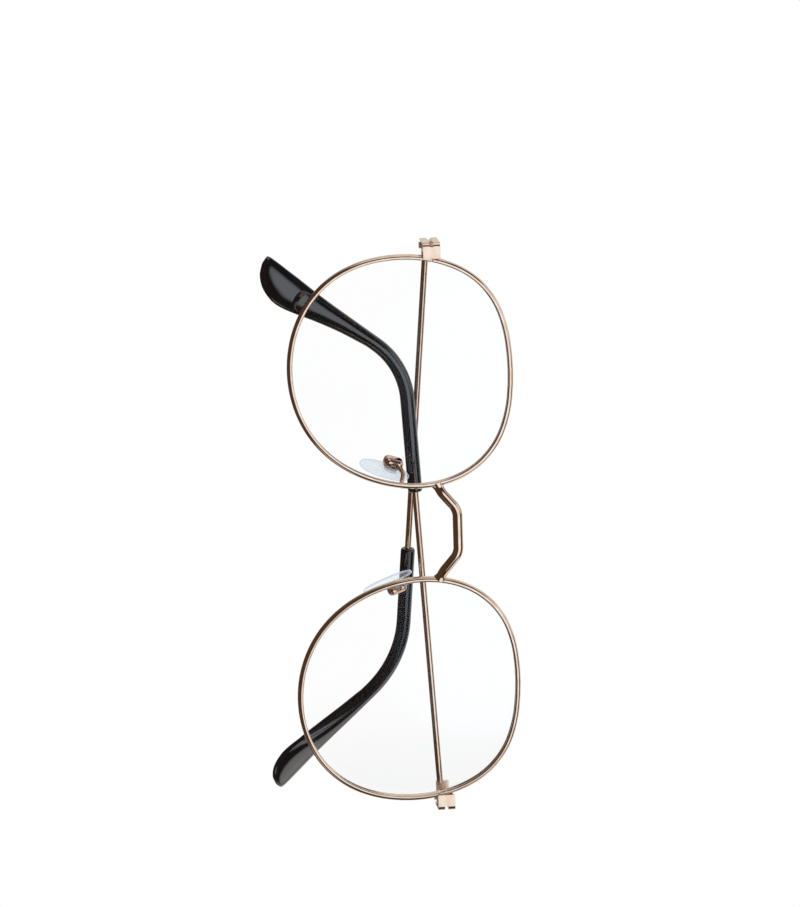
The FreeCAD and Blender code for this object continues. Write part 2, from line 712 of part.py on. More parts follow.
for side, way in (("left", -1), ("right", 1)):
    pin_place = Placement(Vector(-way * pin.x, pin.y, pin.z),
                          Rotation(Vector(0, 0, 1), way * size("slant_angle_" + side)))
    tongue = rod("hinge_tongue_" + side, ("0", "0", "0"), "knuckle_radius", "tongue_height")
    web = block("hinge_tongue_web_" + side, ("%d * knuckle_radius / 2" % way, "leaf_offset / 2", "0"),
                ("knuckle_radius", "leaf_offset", "tongue_height"))
    plate = block("hinge_temple_plate_" + side, ("%d * temple_leaf_length / 2" % way, "leaf_offset", "0"),
                  ("temple_leaf_length", "temple_leaf_thickness", "temple_leaf_height"))
    bore = rod("hinge_tongue_bore_" + side, ("0", "0", "0"), "hinge_screw_radius + screw_fit", "tongue_height * 2")
    name = "hinge_temple_leaf_" + side
    node(cut(name, fuse(name + "_blank", tongue, web, plate), bore), name, pin_place)
    for name, shape in (("temple_wire_", temple_wire(side)), ("temple_tip_", temple_tip(side))):
        if side == "right":
            shape = shape.mirror(Vector(), Vector(1, 0, 0))
        node(feature(name + side, shape), name + side, pin_place)

doc.recompute()


# Checks and files

for thing in doc.Objects:
    if "Invalid" in thing.State or "Error" in thing.State:
        raise RuntimeError("%s is %s" % (thing.Name, thing.State))
os.makedirs("parts", exist_ok=True)
for name, thing in nodes.items():
    shape = thing.Shape
    if shape.isNull() or not shape.isValid() or len(shape.Solids) != 1:
        raise RuntimeError("%s has no single valid solid" % name)
    shape.exportStep("parts/%s.step" % name)
    box = shape.BoundBox
    low = [round(v, 1) for v in (box.XMin, box.YMin, box.ZMin)]
    high = [round(v, 1) for v in (box.XMax, box.YMax, box.ZMax)]
    print(name, "%.2f mm3" % shape.Volume, "from", low, "to", high)
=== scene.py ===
import json
import math

import bmesh
import bpy
from mathutils import Matrix, Vector

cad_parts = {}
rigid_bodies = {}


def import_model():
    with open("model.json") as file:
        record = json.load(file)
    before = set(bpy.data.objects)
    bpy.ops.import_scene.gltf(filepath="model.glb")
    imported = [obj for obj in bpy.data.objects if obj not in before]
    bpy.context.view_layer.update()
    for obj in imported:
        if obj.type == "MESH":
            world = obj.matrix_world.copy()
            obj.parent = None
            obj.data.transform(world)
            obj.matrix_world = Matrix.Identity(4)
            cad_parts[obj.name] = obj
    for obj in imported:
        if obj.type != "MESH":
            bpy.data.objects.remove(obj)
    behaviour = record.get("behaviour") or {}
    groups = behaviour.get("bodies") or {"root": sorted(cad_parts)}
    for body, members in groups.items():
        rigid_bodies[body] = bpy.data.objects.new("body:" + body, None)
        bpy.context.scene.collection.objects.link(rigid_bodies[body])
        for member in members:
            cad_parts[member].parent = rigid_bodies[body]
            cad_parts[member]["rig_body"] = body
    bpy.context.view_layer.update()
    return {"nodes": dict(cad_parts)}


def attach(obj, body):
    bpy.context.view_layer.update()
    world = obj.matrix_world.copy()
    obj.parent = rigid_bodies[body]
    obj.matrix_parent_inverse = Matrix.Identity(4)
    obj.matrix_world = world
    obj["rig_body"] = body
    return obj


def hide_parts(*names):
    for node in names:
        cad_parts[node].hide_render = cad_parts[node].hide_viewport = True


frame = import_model()

# Round metal eyeglasses with their temples folded. Pieces are shaped in millimetres at the places of
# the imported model, the left side first, and the right side mirrors it. Z is up as worn, the front
# faces -Y and +X is the wearer's left.

scene = bpy.context.scene
millimetre = 0.001


# Shader networks

class Signal:
    # an output of a shader node, which can be used in sums
    def __init__(self, finish, socket):
        self.finish = finish
        self.socket = socket

    def __add__(self, other):
        return self.finish.sum("ADD", self, other)

    def __radd__(self, other):
        return self.finish.sum("ADD", other, self)

    def __mul__(self, other):
        return self.finish.sum("MULTIPLY", self, other)

    def __pow__(self, other):
        return self.finish.sum("POWER", self, other)


class Finish:
    # the node network of a material or a world
    def __init__(self, owner):
        owner.use_nodes = True
        self.owner = owner
        self.tree = owner.node_tree
        self.tree.nodes.clear()

    def node(self, kind, settings=None, sockets=None, output=0):
        # one of the outputs of a new node, whose inputs are values or signals
        made = self.tree.nodes.new("ShaderNode" + kind)
        for name, value in (settings or {}).items():
            setattr(made, name, value)
        for name, value in (sockets or {}).items():
            if isinstance(value, Signal):
                self.tree.links.new(value.socket, made.inputs[name])
            else:
                made.inputs[name].default_value = value
        return Signal(self, made.outputs[output])

    def sum(self, operation, first, second):
        return self.node("Math", {"operation": operation}, {0: first, 1: second})

    def limited(self, signal, low, high):
        # 0 below low, 1 above high and smooth between them
        return self.node("MapRange", {"interpolation_type": "SMOOTHSTEP"},
                         {"Value": signal, "From Min": low, "From Max": high})

    def mixed(self, share, first, second):
        return self.node("Mix", {"data_type": "RGBA"}, {0: share, 6: first, 7: second}, 2)

    def layered(self, share, under, over):
        return self.node("MixShader", None, {0: share, 1: under, 2: over})

    def place(self, stretch=(1, 1, 1)):
        spot = self.node("TexCoord", None, None, "Object")
        return self.node("Mapping", None, {"Vector": spot, "Scale": stretch})

    def noise(self, vector, grain, detail=2.0):
        # cloudy pattern with grains of a size in millimetres
        scale = 1 / (grain * millimetre)
        return self.node("TexNoise", None, {"Vector": vector, "Scale": scale, "Detail": detail})

    def bumped(self, height, rise):
        distance = rise * millimetre
        return self.node("Bump", None, {"Height": height, "Strength": 1.0, "Distance": distance})

    def shown(self, shader, kind="Material"):
        self.node("Output" + kind, None, {"Surface": shader}, slice(0))
        return self.owner


def colour(red, green, blue):
    return (red, green, blue, 1)


def plated(name, look):
    # polished plate: faint clouds and worn specks in its colour, drawn lines in its gloss
    finish = Finish(bpy.data.materials.new(name))
    clouds = finish.noise(finish.place(), look["cloud"])
    lines = finish.noise(finish.place(look["drawn"]), look["line"], 4.0)
    specks = finish.limited(finish.noise(finish.place(), look["speck"], 1.0), *look["speckRange"])
    tone = finish.mixed(finish.limited(clouds, *look["cloudRange"]), look["deep"], look["pale"])
    tone = finish.mixed(specks * look["wear"], tone, look["worn"])
    gloss = look["roughness"] + lines * look["lineRoughness"] + specks * look["speckRoughness"]
    return finish.shown(finish.node("BsdfPrincipled", None, {
        "Base Color": tone, "Metallic": 1.0, "Roughness": gloss,
        "Normal": finish.bumped(lines, look["rise"])}))


roseLook = {
    "deep": colour(0.86, 0.64, 0.47),
    "pale": colour(0.95, 0.79, 0.66),
    "worn": colour(0.62, 0.42, 0.29),
    # grains in mm, the stretch of the lines, and where clouds and specks start and are full
    "cloud": 2.4,
    "line": 0.12,
    "speck": 0.5,
    "drawn": (1, 1, 1),
    "cloudRange": (0.3, 0.7),
    "speckRange": (0.68, 0.8),
    "wear": 0.25,
    "roughness": 0.05,
    "lineRoughness": 0.06,
    "speckRoughness": 0.1,
    "rise": 0.001,
}
roseGold = plated("polished_rose_gold", roseLook)
drawnGold = plated("drawn_rose_gold", {
    **roseLook, "drawn": (0.03, 1, 1), "line": 0.09, "lineRoughness": 0.14})
hingeGold = plated("brushed_hinge_plate", {
    **roseLook, "deep": colour(0.86, 0.72, 0.61), "pale": colour(0.95, 0.85, 0.76),
    "drawn": (1, 1, 0.08), "line": 0.07, "roughness": 0.14})
fittingGold = plated("bright_pad_fittings", {
    **roseLook, "deep": colour(0.80, 0.56, 0.44), "pale": colour(0.90, 0.70, 0.58), "roughness": 0.06})
screwSteel = plated("turned_screws", {
    **roseLook, "deep": colour(0.66, 0.52, 0.42), "pale": colour(0.82, 0.70, 0.60),
    "drawn": (1, 1, 0.3), "line": 0.05, "roughness": 0.18})

lensLook = {
    "glass": colour(0.998, 0.999, 1.0),
    "coatFacing": colour(0.62, 0.82, 1.0),
    "coatEdge": colour(0.95, 0.98, 1.0),
    "smear": 9.0,
    "smearRange": (0.45, 0.75),
    "roughness": 0.015,
    "smearRoughness": 0.05,
    # share that mirrors: at its face, in smears, at a low angle and on its outer side, the last a painted
    # reflection laid by place
    "least": 0.006,
    "smeared": 0.004,
    "edge": 0.6,
    "outer": 0.035,
    # metres in X from the middle of the part where the painted outer reflection starts and is full
    "outerRange": (0.030, 0.062),
}


def clearLens(look):
    # see-through, with a coating that mirrors a little at its face and more at a low angle
    finish = Finish(bpy.data.materials.new("coated_clear_lens"))
    facing = finish.node("LayerWeight", None, {"Blend": 0.5}, "Facing")
    smears = finish.limited(finish.noise(finish.place((1, 1, 0.35)), look["smear"], 3.0), *look["smearRange"])
    coating = finish.mixed(facing, look["coatFacing"], look["coatEdge"])
    gloss = look["roughness"] + smears * look["smearRoughness"]
    mirror = finish.node("BsdfPrincipled", None, {"Base Color": coating, "Metallic": 1.0, "Roughness": gloss})
    glass = finish.node("BsdfTransparent", None, {"Color": look["glass"]})
    # painted reflection: the share that mirrors grows along +X by place alone, so only the lens at +X gets it
    outwards = finish.node("SeparateXYZ", None, {0: finish.place()}, 0)
    sheen = finish.limited(outwards, *look["outerRange"]) * look["outer"]
    mirrored = (facing ** 4.0) * look["edge"] + sheen + (look["least"] + smears * look["smeared"])
    return finish.shown(finish.layered(mirrored, glass, mirror))


tipLook = {
    "deep": colour(0.003, 0.003, 0.004),
    "pale": colour(0.007, 0.007, 0.009),
    "wipe": 3.0,
    "wipeTones": (0.35, 0.75),
    "wipeRange": (0.5, 0.8),
    "roughness": 0.05,
    "wipeRoughness": 0.05,
    "ripple": 2.5,
    "rise": 0.004,
}


def glossyPlastic(look):
    # black and polished, a little wiped and not quite flat
    finish = Finish(bpy.data.materials.new("glossy_black_plastic"))
    wipes = finish.noise(finish.place((0.25, 1, 1)), look["wipe"], 3.0)
    skin = finish.noise(finish.place(), look["ripple"], 1.0)
    tone = finish.mixed(finish.limited(wipes, *look["wipeTones"]), look["deep"], look["pale"])
    gloss = look["roughness"] + finish.limited(wipes, *look["wipeRange"]) * look["wipeRoughness"]
    return finish.shown(finish.node("BsdfPrincipled", None, {
        "Base Color": tone, "Roughness": gloss, "Specular IOR Level": 0.9,
        "Normal": finish.bumped(skin, look["rise"]), "Coat Weight": 0.7, "Coat Roughness": 0.03}))


def clearSoft(name, look):
    # see-through plastic, clearer where it is looked at straight on
    finish = Finish(bpy.data.materials.new(name))
    facing = finish.node("LayerWeight", None, {"Blend": 0.5}, "Facing")
    clouds = finish.noise(finish.place(), look["cloud"], 2.0)
    skin = finish.noise(finish.place(), look["ripple"], 2.0)
    body = finish.node("BsdfPrincipled", None, {
        "Base Color": finish.mixed(finish.limited(clouds, *look["cloudRange"]), look["deep"], look["pale"]),
        "Roughness": look["roughness"] + clouds * look["cloudRoughness"], "Specular IOR Level": 0.6,
        "Normal": finish.bumped(skin, look["rise"])})
    through = finish.node("BsdfTransparent", None, {"Color": look["through"]})
    filled = look["least"] + (facing ** 2.2) * look["edge"] + clouds * look["clouded"]
    return finish.shown(finish.layered(filled, through, body))


padLook = {
    "deep": colour(0.70, 0.80, 0.91),
    "pale": colour(0.90, 0.94, 0.99),
    "through": colour(0.96, 0.985, 1.0),
    "cloud": 3.0,
    "cloudRange": (0.3, 0.7),
    "ripple": 0.3,
    "rise": 0.001,
    "roughness": 0.1,
    "cloudRoughness": 0.1,
    # share that is filled: straight on, more at a low angle, and in clouds
    "least": 0.1,
    "edge": 0.9,
    "clouded": 0.03,
}
softPad = clearSoft("clear_silicone", padLook)
hardCore = clearSoft("clear_hard_plastic", {
    **padLook, "deep": colour(0.78, 0.84, 0.88), "pale": colour(0.95, 0.97, 0.98),
    "through": colour(0.97, 0.98, 1.0), "cloud": 1.5, "roughness": 0.08, "rise": 0.002,
    "least": 0.32, "edge": 0.45})

finishes = {
    "frame_metal": roseGold,
    "hinge_metal": hingeGold,
    "pad_fittings": fittingGold,
    "screws": screwSteel,
    "lens": clearLens(lensLook),
    "temple_tips": glossyPlastic(tipLook),
    "nose_pads": softPad,
    "pad_cores": hardCore,
}
print("finishes made")


# Making pieces

def madePiece(bm, name, node, slot, finish=None, sharp=32):
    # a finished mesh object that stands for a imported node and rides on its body
    bmesh.ops.remove_doubles(bm, verts=bm.verts, dist=0.0002)
    bmesh.ops.recalc_face_normals(bm, faces=bm.faces)
    bmesh.ops.scale(bm, vec=(millimetre,) * 3, verts=bm.verts)
    mesh = bpy.data.meshes.new(name)
    bm.to_mesh(mesh)
    bm.free()
    mesh.shade_smooth()
    mesh.set_sharp_from_angle(angle=math.radians(sharp))
    mesh.materials.append(finish or finishes[slot])
    piece = bpy.data.objects.new(name, mesh)
    scene.collection.objects.link(piece)
    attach(piece, frame["nodes"][node]["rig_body"])
    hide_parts(node)
    return piece


def placed(bm, place, right=False):
    # moves a left-hand mesh to its place, and mirrors it for the right
    bmesh.ops.transform(bm, matrix=place, verts=bm.verts)
    if right:
        bmesh.ops.scale(bm, vec=(-1, 1, 1), verts=bm.verts)


def ringOf(bm, corners):
    # closed outline through a few corners, X across and Y deep
    spots = [bm.verts.new((x, y, 0)) for x, y in corners]
    return [bm.edges.new((a, b)) for a, b in zip(spots, spots[1:] + spots[:1])]


def circle(bm, segments):
    bmesh.ops.create_circle(bm, cap_ends=False, radius=1, segments=segments)
    return list(bm.edges)


def swept(bm, ring, stations, capped=True):
    # extrudes a ring from station to station, and closes both ends
    bmesh.ops.transform(bm, matrix=stations[0], verts=bm.verts)
    for before, after in zip(stations, stations[1:]):
        grown = bmesh.ops.extrude_edge_only(bm, edges=ring)["geom"]
        spots = [part for part in grown if isinstance(part, bmesh.types.BMVert)]
        ring = [part for part in grown if isinstance(part, bmesh.types.BMEdge) and part.is_boundary]
        bmesh.ops.transform(bm, matrix=after @ before.inverted(), verts=spots)
    if capped:
        bmesh.ops.holes_fill(bm, edges=[edge for edge in bm.edges if edge.is_boundary], sides=0)


def station(spot, onward, rise, width, thickness):
    # places a ring at a spot, square to its heading, and sizes it
    across = rise.cross(onward).normalized()
    turn = Matrix((across, onward.cross(across), onward)).transposed().to_4x4()
    return Matrix.Translation(spot) @ turn @ Matrix.Diagonal((width, thickness, 1, 1))


def roundedRun(corners, bendRadius, bendStep=4):
    # spots and headings along straight stretches joined by tangent arcs
    corners = [Vector(corner) for corner in corners]
    heading = (corners[1] - corners[0]).normalized()
    run = [(corners[0], heading)]
    for before, corner, after in zip(corners, corners[1:], corners[2:]):
        backward = (before - corner).normalized()
        forward = (after - corner).normalized()
        halfAngle = backward.angle(forward) / 2
        near = corner + backward * (bendRadius / math.tan(halfAngle))
        centre = corner + (backward + forward).normalized() * (bendRadius / math.sin(halfAngle))
        turn = math.pi - 2 * halfAngle
        steps = max(3, math.ceil(math.degrees(turn) / bendStep))
        for i in range(steps + 1):
            roll = Matrix.Rotation(turn * i / steps, 3, forward.cross(backward).normalized())
            run.append((centre + roll @ (near - centre), roll @ -backward))
        heading = forward
    run.append((corners[-1], heading))
    return run


def flowing(table, place):
    # value at a place on a smooth curve through a table of places and values
    places = [row[0] for row in table]
    values = [row[1] for row in table]
    last = len(table) - 1
    i = max([k for k in range(last) if places[k] <= place], default=0)

    def slope(k):
        before, after = max(k - 1, 0), min(k + 1, last)
        return (values[after] - values[before]) / (places[after] - places[before])

    width = places[i + 1] - places[i]
    share = min(max((place - places[i]) / width, 0), 1)
    start = (2 * share ** 3 - 3 * share ** 2 + 1) * values[i]
    leaving = (share ** 3 - 2 * share ** 2 + share) * width * slope(i)
    end = (3 * share ** 2 - 2 * share ** 3) * values[i + 1]
    arriving = (share ** 3 - share ** 2) * width * slope(i + 1)
    return start + leaving + end + arriving


softening = {
    "joined": 0.0005,  # corners this near in mm are one
    "flat": 0.5,  # facets at less degrees are one
    "roundedFrom": 30,  # degrees at an edge
    "sharpFrom": 40,
    "segments": 3,
}


def softened(node, name, slot, edge):
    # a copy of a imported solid, its flats joined up and its edges rounded
    bm = bmesh.new()
    bm.from_mesh(frame["nodes"][node].data)
    bmesh.ops.scale(bm, vec=(1 / millimetre,) * 3, verts=bm.verts)
    bmesh.ops.remove_doubles(bm, verts=bm.verts, dist=softening["joined"])
    flat = math.radians(softening["flat"])
    bmesh.ops.dissolve_limit(bm, angle_limit=flat, verts=bm.verts, edges=bm.edges)
    piece = madePiece(bm, name, node, slot, sharp=softening["sharpFrom"])
    rounding = piece.modifiers.new("rounded_edges", "BEVEL")
    rounding.width = edge * millimetre
    rounding.segments = softening["segments"]
    rounding.limit_method = "ANGLE"
    rounding.angle_limit = math.radians(softening["roundedFrom"])
    rounding.harden_normals = True


# Eyewires and lenses, in the frame of the left lens

lensPlace = Matrix.Translation((36, -7, 4)) @ Matrix.Rotation(math.radians(3.5), 4, "Z")
sides = (("left", False), ("right", True))

eyewire = {
    "radius": 25.2,
    "radiusShares": (1.007, 1.017, 0.952, 0.967, 1.051, 1.035, 0.985, 0.978, 0.982, 1, 1.023, 1.004),
    "firstAngle": 16.7,
    "width": 1.15,
    "depth": 1.9,
    "crown": 0.42,
    "crownSteps": 5,  # to each side
    "grooveDepth": 0.45,
    "grooveWidth": 0.9,
    "split": 0.3,
    "edge": 0.24,
    "edgeSegments": 4,
    "stepAngle": 3,
}


def arcFrom(spot, heading, other):
    # centre and signed radius of the arc that leaves a spot in a heading and reaches another
    inward = 1j * heading
    chord = other - spot
    radius = abs(chord) ** 2 / (2 * (inward.conjugate() * chord).real)
    return spot + inward * radius, radius


def outlineArcs():
    # tangent arcs through twelve spots of the outline: centre, radius, first and last spot
    shares = eyewire["radiusShares"]
    count = len(shares)
    turn = 2 * math.pi / count
    radii = [share * eyewire["radius"] for share in shares]
    spots, headings = [], []
    for i, radius in enumerate(radii):
        slope = sum(0.5 * (-1) ** k / math.tan(k * turn / 2) * radii[i - k] for k in range(1, count))
        angle = math.radians(eyewire["firstAngle"]) + i * turn
        outward = complex(math.cos(angle), math.sin(angle))
        spots.append(outward * radius)
        heading = outward * complex(slope, radius)
        headings.append(heading / abs(heading))
    arcs = []
    for i in range(count):
        start, end = spots[i], spots[(i + 1) % count]
        leave, arrive = headings[i], headings[(i + 1) % count]
        chord = end - start
        both = (chord.conjugate() * (leave + arrive)).real
        spread = 2 * (1 - (leave.conjugate() * arrive).real)
        reach = (math.sqrt(both ** 2 + spread * abs(chord) ** 2) - both) / spread
        middle = (start + end + (leave - arrive) * reach) / 2
        centre, radius = arcFrom(start, leave, middle)
        arcs.append((centre, radius, start, middle))
        centre, radius = arcFrom(end, -arrive, middle)
        arcs.append((centre, -radius, middle, end))
    return arcs


def roundOutline(offset, split):
    # stations round the outline, open by a split at the closing block
    arcs = outlineArcs()
    stations = []
    for i, (centre, radius, start, end) in enumerate(arcs):
        low = math.atan2((start - centre).imag, (start - centre).real)
        high = math.atan2((end - centre).imag, (end - centre).real)
        if high < low:
            high += 2 * math.pi
        if i == 0:
            low += split / 2 / radius
        if i == len(arcs) - 1:
            high -= split / 2 / radius
        steps = max(2, round(math.degrees(high - low) / eyewire["stepAngle"]))
        for k in range(0 if i == 0 else 1, steps + 1):
            angle = low + (high - low) * k / steps
            turn = Matrix.Rotation(angle, 4, (0, -1, 0))
            stations.append(Matrix.Translation((centre.real, 0, centre.imag)) @ turn
                            @ Matrix.Translation((radius + offset, 0, 0)))
    return stations


def eyewireMesh():
    bm = bmesh.new()
    halfWidth, halfDepth = eyewire["width"] / 2, eyewire["depth"] / 2
    lip = eyewire["grooveWidth"] / 2
    corners = [(-halfWidth, halfDepth), (-halfWidth, lip), (-halfWidth + eyewire["grooveDepth"], 0),
               (-halfWidth, -lip), (-halfWidth, -halfDepth)]
    crownRadius = (halfDepth ** 2 + eyewire["crown"] ** 2) / (2 * eyewire["crown"])
    spread = math.asin(halfDepth / crownRadius)
    for k in range(2 * eyewire["crownSteps"] + 1):
        angle = spread * (k / eyewire["crownSteps"] - 1)
        corners.append((halfWidth - crownRadius + crownRadius * math.cos(angle),
                        crownRadius * math.sin(angle)))
    swept(bm, ringOf(bm, corners), roundOutline(0, eyewire["split"]))
    edges = [e for e in bm.edges if e.is_manifold and len(e.link_faces[0].verts) == 4
             and len(e.link_faces[1].verts) == 4 and e.calc_face_angle() > math.radians(30)
             and all(abs(v.co.y) > lip + 0.01 for v in e.verts)]
    bmesh.ops.bevel(bm, geom=edges, offset=eyewire["edge"], affect="EDGES",
                    segments=eyewire["edgeSegments"], profile=0.5, material=-1)
    return bm


for side, right in sides:
    bm = eyewireMesh()
    placed(bm, lensPlace, right)
    madePiece(bm, "eyewire_" + side, "rim_" + side, "frame_metal", sharp=28)
print("eyewires made")

lens = {
    "thickness": 1.8,
    "curve": 110,
    "wall": -0.625,  # from the middle of the eyewire
    "tip": -0.225,
    "lip": 0.4,
    "rings": 26,
}


def lensMesh():
    bm = bmesh.new()
    stations = roundOutline(lens["wall"], 0)
    for matrix in stations[:-1]:
        bm.verts.new(matrix.translation)
    bm.verts.ensure_lookup_table()
    edges = [bm.edges.new((a, b)) for a, b in zip(bm.verts, list(bm.verts[1:]) + [bm.verts[0]])]
    bulge = lens["curve"] - math.sqrt(lens["curve"] ** 2 - eyewire["radius"] ** 2)
    centreY = lens["curve"] - bulge - lens["thickness"] / 2
    outer = 1 + (lens["tip"] - lens["wall"]) / eyewire["radius"]
    start = list(bm.verts)

    def onSphere(spots, radius):
        for spot in spots:
            spot.co.y = centreY - math.sqrt(radius ** 2 - spot.co.x ** 2 - spot.co.z ** 2)

    def grown(ring, share, depth=None, radius=None):
        # a new ring, scaled about the middle and set at a depth or on a sphere
        made = bmesh.ops.extrude_edge_only(bm, edges=ring)["geom"]
        spots = [part for part in made if isinstance(part, bmesh.types.BMVert)]
        bmesh.ops.scale(bm, vec=(share, 1, share), verts=spots)
        for spot in spots:
            if depth is not None:
                spot.co.y = depth
        if radius:
            onSphere(spots, radius)
        return [part for part in made if isinstance(part, bmesh.types.BMEdge) and part.is_boundary], spots

    def domed(ring, radius):
        # rings on a sphere, in to its middle
        for k in range(lens["rings"], 1, -1):
            ring, spots = grown(ring, (k - 1) / k, None, radius)
        ring, spots = grown(ring, 0, None, radius)
        bmesh.ops.pointmerge(bm, verts=spots, merge_co=spots[0].co)

    for spot in start:
        spot.co.y = -lens["lip"]
    ring = grown(edges, outer, 0.0)[0]
    ring = grown(ring, 1 / outer, lens["lip"])[0]
    backCurve = lens["curve"] - lens["thickness"]
    domed(grown(ring, 1, None, backCurve)[0], backCurve)
    ring = [edge for edge in bm.edges if edge.is_boundary]
    domed(grown(ring, 1, None, lens["curve"])[0], lens["curve"])
    return bm


for side, right in sides:
    bm = lensMesh()
    placed(bm, lensPlace, right)
    madePiece(bm, "clear_lens_" + side, "lens_" + side, "lens", sharp=25)
print("lenses made")


# Closing blocks, their screws, end pieces and hinges

# node, name, slot and rounding in mm of the pieces that only get softer edges
hingeParts = (
    ("rim_lock_upper_", "closing_block_upper_", "hinge_metal", 0.16),
    ("rim_lock_lower_", "closing_block_lower_", "hinge_metal", 0.16),
    ("rim_screw_", "closing_screw_", "screws", 0.05),
    ("end_piece_", "corner_plate_", "frame_metal", 0.12),
    ("hinge_front_leaf_", "hinge_ears_", "hinge_metal", 0.12),
    ("hinge_screw_", "hinge_pin_", "screws", 0.1),
    ("hinge_temple_leaf_", "hinge_tongue_", "hinge_metal", 0.2),
)
padParts = (
    ("pad_box_", "pad_cup_", "pad_fittings", 0.2),
    ("pad_screw_", "pad_pin_", "screws", 0.06),
    ("pad_core_", "pad_stem_", "pad_cores", 0.12),
)
for side, right in sides:
    for node, name, slot, edge in hingeParts:
        softened(node + side, name + side, slot, edge)
print("closing blocks and hinges made")


# Bridge

bridge = {
    "width": 2.2,
    "thickness": 1.9,
    "foot": (10.293, -8.572, 10.901),
    "shoulder": (8.9, -9.022, 11.55),
    "top": (4.9, -9.472, 14.9),
    "bend": 4,
    "segments": 48,
    # distance from the foot and share of the wire's width there
    "flare": ((-0.5, 1.36), (-0.3, 1.3), (-0.1, 1.2), (0.1, 1.12), (0.3, 1.06), (0.5, 1.02), (0.7, 1.0)),
}
bm = bmesh.new()
foot, shoulder, top = [Vector(bridge[name]) for name in ("foot", "shoulder", "top")]
run = roundedRun([foot, shoulder, top, (0, top.y, top.z)], bridge["bend"])
start, heading = run[0]
run = [(start + heading * far, heading, swell) for far, swell in bridge["flare"]] + [
    (spot, heading, 1) for spot, heading in run[1:]]
backward = Vector((0, 1, 0))
halfWidth, halfThickness = bridge["width"] / 2, bridge["thickness"] / 2
stations = [station(spot, heading, backward, halfWidth * swell, halfThickness * swell)
            for spot, heading, swell in run]
swept(bm, circle(bm, bridge["segments"]), stations, False)
bmesh.ops.mirror(bm, geom=bm.verts[:] + bm.edges[:] + bm.faces[:], axis="X", merge_dist=0.001)
bmesh.ops.remove_doubles(bm, verts=bm.verts, dist=0.001)
bmesh.ops.holes_fill(bm, edges=[edge for edge in bm.edges if edge.is_boundary], sides=0)
madePiece(bm, "nose_bridge", "bridge", "frame_metal", sharp=50)
print("bridge made")


# Nose pads, their stems, cups, pins and arms. The pad's pivot frame has +X away from the nose, Y along
# the pivot and Z along the pad

padPlace = (Matrix.Translation((14.1833, -0.369833, 1.93984)) @ Matrix.Rotation(math.radians(-14), 4, "Z")
            @ Matrix.Rotation(math.radians(-20), 4, "Y"))
nosePad = {
    "width": 7.2,
    "middle": (-2.1, 0, -1.3),
    "skinCrown": 1.0,
    "backCrown": 0.72,
    "edgeFullness": 0.62,
    "segments": 64,
    # the drop is drawn out along its length
    "stretch": ((-1, -2.2), (-0.4, -1.2), (0.4, 1.2), (1, 2.2)),
}


def padMesh():
    # crowned long drop: a ball flattened and drawn out, fuller near its edge
    bm = bmesh.new()
    halfWidth = nosePad["width"] / 2
    around = nosePad["segments"]
    bmesh.ops.create_uvsphere(bm, u_segments=around, v_segments=around // 2, radius=1)
    bmesh.ops.rotate(bm, matrix=Matrix.Rotation(math.radians(90), 3, "Y"), verts=bm.verts)
    for spot in bm.verts:
        crown = nosePad["skinCrown"] if spot.co.x < 0 else nosePad["backCrown"]
        full = math.copysign(abs(spot.co.x) ** nosePad["edgeFullness"], spot.co.x)
        spot.co = (full * crown, spot.co.y * halfWidth, spot.co.z * halfWidth + flowing(
            nosePad["stretch"], spot.co.z))
    bmesh.ops.translate(bm, vec=nosePad["middle"], verts=bm.verts)
    return bm


padArm = {
    "root": (10.677, -7.597, 3.116),
    "back": 2,
    "swing": 1.6,
    "rise": 0.7,
    "reach": (0, 0, 1.1),  # in the pad's frame
    "bend": 1.4,
    "bendStep": 6,
    "radius": 0.5,
    "segments": 28,
    # distance from the root and share of the wire's radius there
    "foot": ((-0.5, 1.5), (0, 1.45), (0.25, 1.25), (0.5, 1.1)),
}


def armMesh():
    bm = bmesh.new()
    root = Vector(padArm["root"])
    back = root + Vector((0, padArm["back"], 0))
    turn = back + Vector((padArm["swing"], padArm["back"], padArm["rise"]))
    corners = [root, back, turn, padPlace @ Vector(padArm["reach"])]
    run = roundedRun(corners, padArm["bend"], padArm["bendStep"])
    start, heading = run[0]
    run = [(start + heading * far, heading, swell) for far, swell in padArm["foot"]] + [
        (spot, heading, 1) for spot, heading in run[1:]]
    upward, radius = Vector((0, 0, 1)), padArm["radius"]
    stations = [station(spot, heading, upward, radius * swell, radius * swell)
                for spot, heading, swell in run]
    swept(bm, circle(bm, padArm["segments"]), stations)
    return bm


for side, right in sides:
    bm = padMesh()
    placed(bm, padPlace, right)
    madePiece(bm, "soft_pad_" + side, "nose_pad_" + side, "nose_pads", sharp=60)
    bm = armMesh()
    placed(bm, Matrix(), right)
    madePiece(bm, "arm_wire_" + side, "pad_arm_" + side, "pad_fittings", sharp=50)
    for node, name, slot, edge in padParts:
        softened(node + side, name + side, slot, edge)
print("nose pads made")


# Temples, each in the frame of its hinge pin, folded along -X on the left

